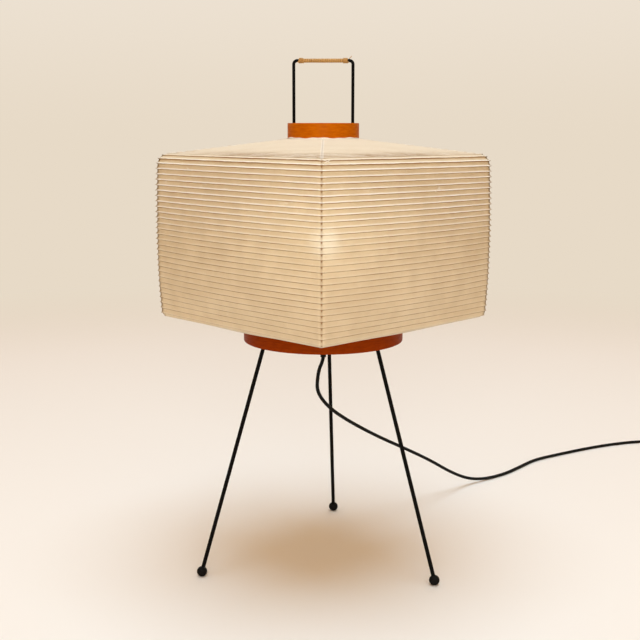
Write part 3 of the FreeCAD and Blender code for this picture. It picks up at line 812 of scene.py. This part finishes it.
def skinAt(turn, gore, angle, depth):
    # a point of the skin and the way inwards; angle 0 and 90 are a gore's corners, 45 its middle
    point, normal = outlineAt(turn)
    middle = (shoulderHeight + hemHeight) / 2
    corner = point.x
    if crownTurns < turn < crownTurns + sideTurns:
        swell = 1 - ((point.y - middle) / (shoulderHeight - middle)) ** 2
        corner += shade["swell"] * max(0.0, swell)
    rim, flat = outlineCorners[3], hemArc[1]
    if point.y > middle:
        rim, flat = outlineCorners[0], shoulderArc[0]
    square = min(1.0, max(0.0, (point.x - rim.x) / (flat.x - rim.x)))
    belly = smooth((shoulderHeight - point.y) / shade["bellyDrop"])
    bow = lerp(shade["bowShoulder"], shade["bowBelly"], belly)
    bow = lerp(shade["bowHem"], bow, smooth((point.y - hemHeight) / shade["bellyRise"]))
    face = corner + square * (corner * math.sqrt(0.5) + bow - corner)
    off = math.radians(angle - 45)
    radius = corner
    if square > 0:
        hub = (face ** 2 - corner ** 2) / (2 * face - math.sqrt(2) * corner)
        radius = hub * math.cos(off) + math.sqrt((face - hub) ** 2 - (hub * math.sin(off)) ** 2)
    stretch = lerp(1.0, corner / face, abs(math.tan(off)))
    out = outwards(90 + 90 * gore + angle)
    inward = out * -normal.x * stretch - up * normal.y
    return out * radius + up * point.y + inward * depth, inward


def sagAt(turn):
    # how deep the paper sinks between two ribs
    crown = lerp(shade["sagCrown"], shade["sagShoulder"], smooth((turn - 7) / 5))
    high = lerp(shade["sagLow"], shade["sagHigh"], smooth((40 - turn) / 16))
    return lerp(crown, high, smooth((turn - crownTurns) / 2))


def goreRows():
    # each row is its rib number, its share of the way from a border, and its zone:
    # 0 above the first rib, 1 between ribs and 2 under the last
    rows = [(-1.0, -1.0, 0), (-1.0, -0.45, 0)]
    rows += [(share - 1, share, 0) for share in (0.0, 0.3, 0.65)]
    for rib in range(turns - 2):
        rows += [(rib + share, 0, 1) for share in shade["bandRows"]]
    rows += [(turns - 2 + share, share, 2) for share in (0.0, 0.35, 0.7, 1.0)]
    return rows


def turnOf(row, quarter):
    rib, share, zone = row
    first = 0.5 + quarter / 4
    if zone == 0:
        return share if share < 0 else share * first
    if zone == 1:
        return rib + first
    return lerp(turns - 2 + first, turns, share)


def lipWave(heading):
    # the torn edge of the paper on the collar rises and dips
    return 1 + 0.50 * math.sin(7 * heading + 0.6) + 0.35 * math.sin(17 * heading + 2.0)


def goreMesh(name, corner):
    # outer and inner skin of one gore as a closed sheet, with what the tree needs on it
    columns = shade["columns"]
    rows = goreRows()
    points, inwards = [], []
    marks = {"rib": [], "sag": [], "across": [], "inside": []}
    for layer, depth in enumerate((0.0, shade["wall"])):
        for row in rows:
            for c in range(columns + 1):
                share = c / columns
                across = share + 0.035 * math.sin(2 * math.pi * share) / math.pi
                angle = 45 + math.degrees(math.atan(2 * across - 1))
                turn = turnOf(row, corner + across)
                if turn < 0:
                    turn *= lipWave(math.radians(90 + 90 * corner + angle))
                point, inward = skinAt(turn, corner, angle, depth)
                points.append(point)
                inwards.extend(inward)
                sag = sagAt(turn) if row[2] == 1 else 0.0
                for values, mark in zip(marks.values(), (row[0], sag, across, layer)):
                    values.append(float(mark))
    faces = []

    def wall(low, high):
        faces.extend((low[k], high[k], high[k + 1], low[k + 1]) for k in range(len(low) - 1))

    wide = columns + 1
    outer = [range(r * wide, (r + 1) * wide) for r in range(len(rows))]
    inner = [[len(rows) * wide + k for k in row] for row in outer]
    for r in range(len(rows) - 1):
        wall(outer[r], outer[r + 1])
        wall(inner[r + 1], inner[r])
    wall([row[0] for row in outer], [row[0] for row in inner])
    wall([row[-1] for row in inner], [row[-1] for row in outer])
    wall(inner[0], outer[0])
    wall(outer[-1], inner[-1])
    piece = meshPiece(name, points, faces, paper)
    attributes = piece.data.attributes
    for label, values in marks.items():
        attributes.new(label, "FLOAT", "POINT").data.foreach_set("value", values)
    attributes.new("inward", "FLOAT_VECTOR", "POINT").data.foreach_set("vector", inwards)
    return piece


def ribbedPaper():
    # sinks the paper between the ribs, and lets it wander and wrinkle a little
    tree, given = newTree("ribbedPaper", Wander=0.0006, Wrinkle=0.0003, Pucker=0.0004)

    def attribute(name, kind="FLOAT"):
        return wire(tree, "GeometryNodeInputNamedAttribute", {"Name": name}, data_type=kind)

    place = wire(tree, "GeometryNodeInputPosition")
    curve = addNode(tree, "ShaderNodeFloatCurve", {"Value": attribute("rib").calc("FRACT")})
    shape = curve.mapping.curves[0]
    shape.points[0].location = (0.0, 0.0)
    shape.points[1].location = (1.0, 0.0)
    for share, depth in shade["dip"]:
        shape.points.new(share, depth)
    curve.mapping.update()
    dip = Wire(tree, curve.outputs[0])
    wander = (place.noise(9.0, 2.0) - 0.5) * given["Wander"]
    tall = place.vector("MULTIPLY", (90.0, 90.0, 30.0))
    crease = (tall.noise(1.0, 3.0) - 0.5) * given["Wrinkle"]
    pucker = abs(attribute("across") - 0.5).ranged(0.46, 0.5) * given["Pucker"]
    total = dip * (attribute("sag") + crease + pucker) + wander
    return movedTree(tree, given, attribute("inward", "FLOAT_VECTOR").vector("SCALE", total))


ribTree = ribbedPaper()
goreNodes = ["paper_gore_" + side for side in ("rear_left", "front_left", "front_right", "rear_right")]
for number, node in enumerate(goreNodes):
    settle(growPiece(goreMesh(camel(node), number), ribTree), "shade", "paper", node)


def looseFibres():
    # fibre ends that have come off the paper: gore, angle, turn, then how far each runs and sinks
    paths = []
    for gore, angle, turn, run, sink in (
        (2, 0.5, 15.1, 2.4, 0.8), (2, 0.8, 15.8, 1.8, -0.5), (2, 57.0, 21.3, 2.8, -0.9),
        (2, 59.0, 20.6, 1.6, 0.5), (1, 17.0, 17.4, 3.0, 0.3), (0, 30.0, 19.3, 2.6, 0.4),
        (3, 52.0, 16.8, -2.6, 0.6),
    ):
        path = []
        for k in range(7):
            share = k / 6
            lifted = -0.0012 * math.sin(2.2 * share)
            path.append(skinAt(turn + sink * share, gore, angle + run * share, lifted)[0])
        paths.append(path)
    piece = strandPiece("looseFibres", paths, 0.00042, 0.00015, 6, paper)
    return settle(piece, "shade", "paper")


looseFibres()
print("paper gores:", len(goreNodes))


# Bamboo rib: one strip that spirals down inside the ridges

ribSize = {"width": 0.0016, "thick": 0.0012, "under": 0.0014, "stepsPerTurn": 48, "pitch": 0.0076}


def bambooRib():
    ease = 0.3
    section = ((-1, ease), (-ease, 0), (ease, 0), (1, ease), (1, 1), (-1, 1))
    points = []
    steps = ribSize["stepsPerTurn"] * (turns - 1)
    for s in range(steps + 1):
        quarter = 4 * s / ribSize["stepsPerTurn"]
        for side, depth in section:
            turn = 0.5 + quarter / 4 + side * ribSize["width"] / 2 / ribSize["pitch"]
            under = ribSize["under"] + depth * ribSize["thick"]
            points.append(skinAt(turn, quarter // 1, quarter % 1 * 90, under)[0])
    built("bamboo_rib", (points, tubeFaces(steps + 1, len(section))), bamboo, "shade", "bamboo")


bambooRib()


# Lacquered rings

ringSize = {
    "wall": 0.003,
    "ease": 0.0008,
    "ledge": ((0, 0.0175), (-0.0125, 0.0175), (-0.0125, 0.0135), (0, 0.0135)),
}


def ringPiece(node, finish, low, high, ledge=()):
    # a ledge's corners are given from the foot of the inner wall
    inner = high.x - ringSize["wall"]
    profile = [(inner, low.z), (high.x, low.z), (high.x, high.z), (inner, high.z)]
    profile += [(inner + across, low.z + rise) for across, rise in ledge]
    ring = turnedMesh(eased(profile, ringSize["ease"]), sides=160)
    built(node, ring, finish, "shade", "orange_lacquer")


ringPiece("top_collar", orange, collarLow, collarHigh)
ringPiece("bottom_hoop", shadedOrange, hoopLow, hoopHigh, ringSize["ledge"])
print("rings turned")


# Handle: bent wire, cane wound on its bar, a binding over each end

frameLow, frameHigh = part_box("handle_frame")
handle = {
    "wire": 0.0044,
    "bend": 0.005,
    "bore": 0.0023,
    "caneTurns": 22,
    "canePitch": 0.0031,
    "caneWidth": 0.0027,
    "caneThick": 0.0005,
    "strand": 0.00105,
    "strandPitch": 0.00125,
    "strandTurns": 5,
}
barHeight = frameHigh.z - handle["wire"] / 2
barReach = frameHigh.x - handle["wire"] / 2


def handleFrame():
    corners = [(-barReach, frameLow.z), (-barReach, barHeight)]
    corners += [(barReach, barHeight), (barReach, frameLow.z)]
    bent = eased(corners, handle["bend"], steps=8, closed=False)
    tube = sweptMesh([(x, 0, z) for x, z in bent], [handle["wire"] / 2] * len(bent), sides=28)
    built("handle_frame", tube, blackSteel, "base", "black_steel")


def woundStrand():
    # a strand wound on a bar along X: one spiral with a flat or round section, slightly uneven
    tree, given = newTree(
        "woundStrand", Radius=0.0024, Turns=20.0, Length=0.06, Width=0.0026, Thickness=0.0007,
        Uneven=0.0002, Middle=(0, 0, 0), StepsPerTurn=28,
    )
    width, thick, radius = given["Width"], given["Thickness"], given["Radius"]
    spiral = wire(tree, "GeometryNodeCurveSpiral", {
        "Resolution": given["StepsPerTurn"],
        "Rotations": given["Turns"],
        "Start Radius": radius,
        "End Radius": radius,
        "Height": given["Length"],
    })
    upright = wire(tree, "GeometryNodeSetCurveNormal", {"Curve": spiral}, mode="Z_UP")
    section = wire(tree, "GeometryNodeCurvePrimitiveQuadrilateral", {"Width": width, "Height": thick})
    corner = width.calc("MINIMUM", thick) * 0.45
    rounded = {"Curve": section, "Radius": corner, "Count": 3}
    profile = wire(tree, "GeometryNodeFilletCurve", rounded, mode="POLY")
    swept = {"Curve": upright, "Profile Curve": profile, "Fill Caps": True}
    wound = wire(tree, "GeometryNodeCurveToMesh", swept)
    coarse = wire(tree, "GeometryNodeInputPosition").noise(240.0, 2.0, output=1)
    offset = coarse.vector("SUBTRACT", (0.5, 0.5, 0.5)).vector("SCALE", given["Uneven"])
    bent = wire(tree, "GeometryNodeSetPosition", {"Geometry": wound, "Offset": offset})
    half = wire(tree, "ShaderNodeCombineXYZ", {2: given["Length"] * -0.5})
    centred = wire(tree, "GeometryNodeTransform", {"Geometry": bent, "Translation": half})
    laid = wire(tree, "GeometryNodeTransform", {
        "Geometry": centred,
        "Rotation": (0, math.pi / 2, 0),
        "Translation": given["Middle"],
    })
    return endTree(tree, given, laid)


def handleWrap():
    tree = woundStrand()
    flat, strand = handle["caneThick"], handle["strand"]
    length = handle["caneTurns"] * handle["canePitch"]
    bound = handle["strandTurns"] * handle["strandPitch"]

    def wind(node, middle, **values):
        values["Middle"] = Vector((middle, 0, barHeight))
        piece = growPiece(meshPiece(camel(node), [], [], cane), tree, **values)
        settle(piece, "base", "cane", node)

    wind(
        "handle_wrap", 0, Radius=handle["bore"] + flat / 2, Turns=float(handle["caneTurns"]),
        Length=length, Width=flat, Thickness=handle["caneWidth"], Uneven=0.0004,
    )
    for side, label in ((-1, "left"), (1, "right")):
        wind(
            "wrap_binding_" + label, side * (length - bound) / 2,
            Radius=handle["bore"] + flat + strand / 2, Turns=float(handle["strandTurns"]),
            Length=bound, Width=strand, Thickness=strand, Uneven=0.0006,
        )


caneEnds = (
    [(0.036, -0.0012, 0.73), (0.0372, -0.0016, 0.7316), (0.0388, -0.0018, 0.7328),
     (0.0396, -0.0016, 0.7344)],
    [(-0.034, -0.0030, 0.7272), (-0.0356, -0.0036, 0.7258), (-0.0372, -0.0036, 0.7252)],
    [(0.034, -0.0032, 0.7270), (0.0351, -0.0038, 0.7254), (0.0360, -0.0036, 0.7243)],
)
handleFrame()
handleWrap()
settle(strandPiece("caneEnds", caneEnds, 0.00045, 0.0002, 8, cane), "base", "cane")
print("handle wound")


# Legs and feet

legSize = {
    "radius": 0.00285,
    "ease": 0.0004,
    "foot": 0.0074,
    "footFlat": 0.0006,
    "circle": 0.192,
    "inFoot": 0.005,
    "topCircle": 0.089,
    "topGap": 0.003,
    "turn": -4.65,
}


def legAndFoot(label, angle):
    foot = legSize["foot"]
    out = outwards(angle + legSize["turn"])
    footCentre = out * legSize["circle"] + up * (foot - legSize["footFlat"])
    top = out * legSize["topCircle"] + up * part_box("base_plate")[0].z
    way = (top - footCentre).normalized()
    low = footCentre + way * (foot - legSize["inFoot"])
    length = (top - way * legSize["topGap"] - low).length
    ease = legSize["ease"]
    endShape = ((0, 1), (0.3, 0.4), (1, 0))
    rounded = [(ease * along, legSize["radius"] - ease * lost) for along, lost in endShape]
    stations = rounded + [(length - along, radius) for along, radius in reversed(rounded)]
    path = [low + way * along for along, radius in stations]
    tube = sweptMesh(path, [radius for along, radius in stations], sides=32)
    built("leg_" + label, tube, blackSteel, "base", "black_steel")
    floor = -foot + legSize["footFlat"]
    rim = math.sqrt(foot ** 2 - floor ** 2)
    profile = [(0.0, floor), (rim * 0.9, floor), (rim * 1.02, floor + 0.0001)]
    for s in range(32):
        polar = math.pi * s / 32
        if -foot * math.cos(polar) > floor + 0.0002:
            profile.append((foot * math.sin(polar), -foot * math.cos(polar)))
    profile.append((0.0, foot))
    ball = turnedMesh(profile, origin=footCentre, sides=56)
    built("foot_" + label, ball, footRubber, "base", "foot_rubber")


for legLabel, legAngle in (("left", 210), ("right", 330), ("rear", 90)):
    legAndFoot(legLabel, legAngle)
print("legs stand")


# Base plate and what is fixed to it

fixedParts = (
    (blackSteel, "black_steel", {
        "base_plate": 0.0006, "leg_bosses": 0.0004, "frame_sockets": 0.0004,
        "collar_crossbar": 0.0004, "stop_ferrules": 0.0004,
    }),
    (brass, "brass", {
        "stem_nuts": 0.0005, "holder_stem": 0.0003, "screw_shell": 0.0002,
        "centre_contact": 0.0004, "rocker_pin": 0.0002,
    }),
    (holderPlastic, "holder_black", {"contact_post": 0.0004}),
)
for finish, slotName, eases in fixedParts:
    for node, ease in eases.items():
        easedCopy(node, finish, ease, slotName)


# Lampholder, cord grip and bulb

gripSize = {
    "socket": 0.012,
    "neck": 0.006,
    "end": 0.0042,
    "grooves": 4,
    "pitch": -0.0030,
    "taper": 0.0004,
    "shape": ((0, 0), (0, -0.0018), (0.0008, -0.0020), (0.0008, -0.0028)),
}
holderSize = {
    "bore": 0.00515,
    "capWall": 0.0025,
    "wall": 0.005,
    "floor": 0.004,
    "grooves": 6,
    "pitch": 0.0036,
    "taper": 0,
    "shape": ((0, 0), (0.0007, 0.0004), (0.0007, 0.0012), (0, 0.0016)),
}


def cordGrip():
    low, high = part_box("cord_grip")
    wide, top = high.x, high.z
    bore, neck, end = holderSize["bore"], gripSize["neck"], gripSize["end"]
    socket = top - gripSize["socket"]
    profile = [(0.0, socket), (bore, socket), (bore, top), (wide, top)]
    profile += [(wide, top - 0.0146), (neck + 0.0006, top - 0.0178)]
    profile += grooves(gripSize, neck, top - 0.0190)
    profile += [(end, low.z + 0.0010), (end, low.z), (0.0, low.z)]
    profile.reverse()
    points = eased(profile, 0.0004, steps=2, closed=False)
    built("cord_grip", turnedMesh(points, sides=56), cordSkin, "base", "cord_black")


def holderPieces():
    low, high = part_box("holder_cap")
    wide, inner, floor = high.x, high.x - holderSize["capWall"], low.z + holderSize["floor"]
    bore, step = holderSize["bore"], wide - 0.0006
    profile = [(bore, low.z), (wide - 0.004, low.z), (wide, floor), (wide, high.z - 0.004)]
    profile += [(step, high.z - 0.0034), (step, high.z), (inner, high.z), (inner, floor), (bore, floor)]
    cap = turnedMesh(eased(profile, 0.0005))
    built("holder_cap", cap, holderPlastic, "base", "holder_black")
    low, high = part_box("holder_barrel")
    wide, inner, floor = high.x, high.x - holderSize["wall"], low.z + holderSize["floor"]
    profile = [(0.0, low.z), (wide - 0.002, low.z), (wide, floor)]
    profile += grooves(holderSize, wide, low.z + 0.010)
    profile += [(wide, high.z - 0.002), (wide - 0.001, high.z), (inner, high.z)]
    profile += [(inner, floor), (0.0, floor)]
    barrel = turnedMesh(eased(profile, 0.0004, steps=2, closed=False))
    built("holder_barrel", barrel, holderPlastic, "base", "holder_black")


def threadedCap():
    # a thread rolled into the bulb's cap: the wall follows a spiral wave
    tree, given = newTree("rolledThread", Depth=0.0006, Pitch=0.0036, From=0.0, To=1.0)
    runOut = 0.002
    place = wire(tree, "GeometryNodeInputPosition")
    x, y, z = place.parts()
    climb = z.calc("DIVIDE", given["Pitch"]) * (2 * math.pi)
    wave = (climb - y.calc("ARCTAN2", x)).calc("COSINE")
    low = z.ranged(given["From"], given["From"] + runOut)
    high = z.ranged(given["To"], given["To"] - runOut)
    depth = (wave - 1.0) * given["Depth"] * (low * high)
    out = place.vector("MULTIPLY", (1, 1, 0)).vector("NORMALIZE")
    return movedTree(tree, given, out.vector("SCALE", depth))


bulbSize = {"skirt": 0.004, "thread": 0.0005, "pitch": 0.0036, "neck": 0.0126, "joinAngle": -25}


def bulbPieces():
    low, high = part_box("bulb_cap")
    wide, top = high.x, high.z
    skirt = low.z + bulbSize["skirt"]
    wall = skirt + 0.002
    profile = [(0.0, low.z), (0.0035, low.z), (0.005, low.z + 0.001), (wide - 0.0015, skirt)]
    profile += [(wide, wall + (top - skirt - 0.003) * k / 60) for k in range(61)]
    profile += [(wide - 0.0006, top), (0.0, top)]
    cap = meshPiece("bulbCap", *turnedMesh(profile), capMetal)
    depth, pitch = bulbSize["thread"], bulbSize["pitch"]
    growPiece(cap, threadedCap(), Depth=depth, Pitch=pitch, From=wall, To=top - 0.002)
    settle(cap, "bulb", "cap_metal", "bulb_cap")
    neck, globe, low = bulbSize["neck"], bulbHigh.x, bulbLow.z
    centre = Vector((0, bulbHigh.z - globe))
    profile = [(0.0, low), (neck - 0.0008, low), (neck, low + 0.0008), (neck, low + 0.004)]
    joinAngle = math.radians(bulbSize["joinAngle"])
    spoke = Vector((math.cos(joinAngle), math.sin(joinAngle)))
    start, join = Vector((neck, low + 0.006)), centre + spoke * globe
    pull, lead = start + Vector((0.0008, 0.014)), join - Vector((-spoke.y, spoke.x)) * 0.016
    for s in range(1, 20):
        t = s / 20
        ends = start * (1 - t) ** 3 + join * t ** 3
        profile.append(ends + (pull * (1 - t) + lead * t) * 3 * t * (1 - t))
    for s in range(32):
        angle = lerp(joinAngle, math.pi / 2, s / 32)
        profile.append((globe * math.cos(angle), centre.y + globe * math.sin(angle)))
    profile.append((0.0, bulbHigh.z))
    built("bulb_glass", turnedMesh(profile), glass, "bulb", "bulb_glass")


cordGrip()
holderPieces()
bulbPieces()
print("lampholder and bulb fitted")


# Stage: pale floor, soft light, camera

stage = {
    "floor": (0.855, 0.84, 0.81, 1),
    "room": (1.0, 0.60, 0.28, 1),
    "backLow": (0.80, 0.70, 0.57, 1),
    "backHigh": (0.85, 0.76, 0.65, 1),
    "rings": (0.0, 0.5, 1.2, 2.8, 6.0),
    "solidTo": 1.5,
    "fadedAt": 2.9,
    "lens": 60.77,
    "sensor": 36.0,
    "cameraPlace": (0.0135, -1.5484, 0.6355),
    "cameraTurn": (79.91, 0, 0.673),
}


def paleFloor():
    sides = 96
    rings = stage["rings"]
    points, faces = turnedMesh([(r, -0.0001) for r in rings] + [(0.0, -0.0002)], sides=sides)
    upward = [face[::-1] for face in faces[:sides * (len(rings) - 1)]]
    plain = {"Base Color": stage["floor"], "Specular IOR Level": 0.2}
    material, tree, shader = newMaterial("paleFloor", plain)
    place = wire(tree, "ShaderNodeTexCoord", output="Object")
    plugIn(shader, {"Roughness": place.noise(3.0, 4.0).ranged(0.2, 0.8, 0.7, 0.85)})
    far = place.vector("LENGTH").ranged(stage["solidTo"], stage["fadedAt"])
    share = far * wire(tree, "ShaderNodeLightPath", output="Is Camera Ray")
    fade = wire(tree, "ShaderNodeEmission", {"Color": stage["backLow"], "Strength": 1.0})
    solid = Wire(tree, shader.outputs[0])
    blend = wire(tree, "ShaderNodeMixShader", {0: share, 1: solid, 2: fade})
    back = wire(tree, "ShaderNodeNewGeometry", output="Backfacing")
    clear = wire(tree, "ShaderNodeBsdfTransparent")
    shown = wire(tree, "ShaderNodeMixShader", {0: back, 1: blend, 2: clear})
    plugIn(tree.nodes["Material Output"], {0: shown})
    return meshPiece("floor", points[:-1], upward, material)


def softRoom():
    world = bpy.data.worlds.new("softRoom")
    bpy.context.scene.world = world
    world.use_nodes = True
    tree = world.node_tree
    across, _, rise = wire(tree, "ShaderNodeTexCoord", output="Generated").parts()
    light = tree.nodes["Background"]
    plugIn(light, {0: stage["room"], 1: abs(across).ranged(0.2, 0.8, 0.92, 0.21)})
    wall = rise.ranged(-0.02, 0.16).mixed(stage["backLow"], stage["backHigh"])
    seen = wire(tree, "ShaderNodeBackground", {0: wall, 1: 1.0})
    rays = wires(addNode(tree, "ShaderNodeLightPath"))
    either = rays["Is Camera Ray"].calc("MAXIMUM", rays["Is Glossy Ray"])
    either = either.calc("MAXIMUM", rays["Is Transmission Ray"])
    lit = Wire(tree, light.outputs[0])
    blend = wire(tree, "ShaderNodeMixShader", {0: either, 1: lit, 2: seen})
    plugIn(tree.nodes["World Output"], {0: blend})


def softLamp(name, place, target, size, power, colour):
    data = bpy.data.lights.new(name, "AREA")
    data.shape = "DISK"
    data.size = size
    data.energy = power
    data.color = colour
    lamp = placed(name, data)
    lamp.location = place
    lamp.rotation_euler = (Vector(target) - Vector(place)).to_track_quat("-Z", "Y").to_euler()


def photoCamera():
    data = bpy.data.cameras.new("camera")
    data.lens = stage["lens"]
    data.sensor_width = stage["sensor"]
    camera = placed("camera", data)
    camera.location = stage["cameraPlace"]
    camera.rotation_euler = [math.radians(angle) for angle in stage["cameraTurn"]]
    bpy.context.scene.camera = camera


paleFloor()
softRoom()
softLamp("overhead", (0.1, -0.15, 5.0), (0.03, 0.02, 0.0), 3.4, 140.0, (0.79, 1.10, 1.34))
softLamp("front", (0.0, -3.4, 1.25), (0, 0, 0.48), 1.6, 45.0, (0.95, 0.98, 0.98))
photoCamera()
bpy.context.scene.view_settings.view_transform = "Standard"
print("stage lit")
